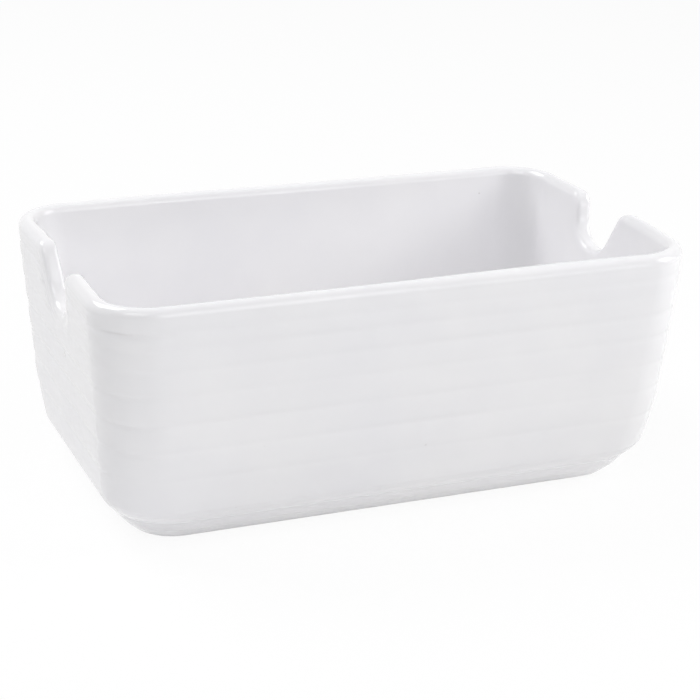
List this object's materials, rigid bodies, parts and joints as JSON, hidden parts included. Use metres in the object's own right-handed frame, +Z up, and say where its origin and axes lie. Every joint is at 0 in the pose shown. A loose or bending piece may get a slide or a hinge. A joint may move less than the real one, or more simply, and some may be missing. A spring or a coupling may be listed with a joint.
{
  "type": "sugar packet holder",
  "caption": "Low open box of glazed porcelain that packets stand in: ribbed walls lean in to a small foot, with a rolled rim and a U-shaped finger notch in each short end.",
  "frame": {"origin": "middle of the footprint, on the surface that the foot ring stands on", "axes": "+X along the length, through both finger notches; +Y across the width; +Z up, out of the open top"},
  "size_m": [0.1222, 0.073, 0.0501],
  "materials": {
    "porcelain": "matte",
    "glaze": "gloss"
  },
  "bodies": {
    "root": {"porcelain_body": "porcelain", "glaze_coat": "glaze"}
  },
  "joints": []
}
